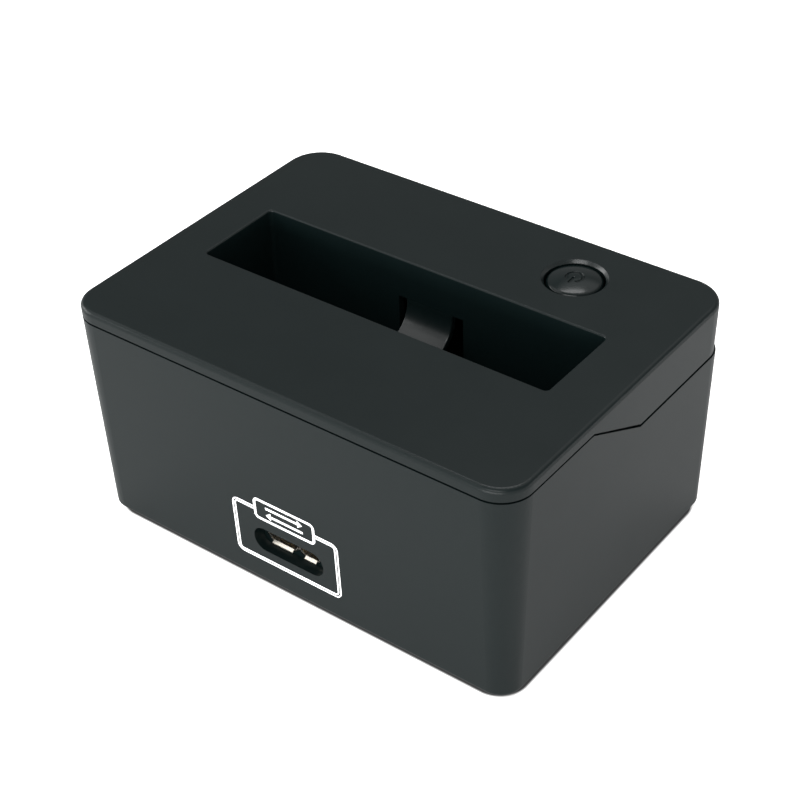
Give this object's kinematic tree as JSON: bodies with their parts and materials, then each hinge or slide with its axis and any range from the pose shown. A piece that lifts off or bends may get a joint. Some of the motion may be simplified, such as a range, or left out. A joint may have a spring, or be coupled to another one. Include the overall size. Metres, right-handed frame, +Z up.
{
  "type": "hard drive docking station",
  "caption": "Desk dock for one bare 2.5 inch drive: drafted base, stepped cover with a deep drive slot, sprung finger, round push button and recessed rear data port.",
  "frame": {"origin": "on the table, under the middle of the housing", "axes": "+X along the long side, towards the power button's end; -Y out of the rear face with the data port; +Z up, out of the drive slot"},
  "size_m": [0.096, 0.0702, 0.0476],
  "materials": {
    "cover": "fine moulded texture, satin",
    "base": "fine moulded texture, satin",
    "trim": "black",
    "finger": "smooth satin",
    "button": "satin gloss",
    "board": "green solder mask",
    "black_plastic": "matt",
    "chip": "matt",
    "steel": "bright",
    "gilt": "bright",
    "aluminium": "bright",
    "ceramic": "matt",
    "lamp": "diffusing",
    "clear": "clear",
    "rubber": "matt"
  },
  "bodies": {
    "housing": {"base_shell": "base", "top_cover": "cover", "trim_band": "trim", "switch_body": "black_plastic", "main_board": "board", "drive_connector_body": "black_plastic", "drive_connector_contacts": "gilt", "port_shell": "steel", "port_insulator": "black_plastic", "port_contacts": "gilt", "bridge_chip": "chip", "flash_chip": "chip", "regulator_chip": "chip", "power_inductor": "chip", "crystal_can": "steel", "ceramic_capacitors": "ceramic", "can_capacitors": "aluminium", "status_lamp": "lamp", "light_guide": "clear", "board_screws": "steel", "case_screws": "steel", "rubber_feet": "rubber"},
    "finger": {"drive_clip": "finger"},
    "button": {"power_button": "button"},
    "plunger": {"switch_plunger": "black_plastic"}
  },
  "joints": [
    {"name": "finger_flex", "type": "hinge", "parent": "housing", "child": "finger", "pos_m": [-0.00093, 0.0109, 0.0383], "axis": [1, 0, 0], "range_deg": [0, 25], "stiffness_Nm_per_rad": 0.05, "springref_deg": -5.73},
    {"name": "button_press", "type": "slide", "parent": "housing", "child": "button", "axis": [0, 0, -1], "range_m": [0, 0.001], "stiffness_N_per_m": 400, "springref_m": -0.001},
    {"name": "switch_press", "type": "slide", "parent": "housing", "child": "plunger", "axis": [0, 0, -1], "range_m": [0, 0.001]}
  ],
  "couplings": [
    {"joint": "switch_press", "follows": "button_press", "ratio": 1}
  ]
}
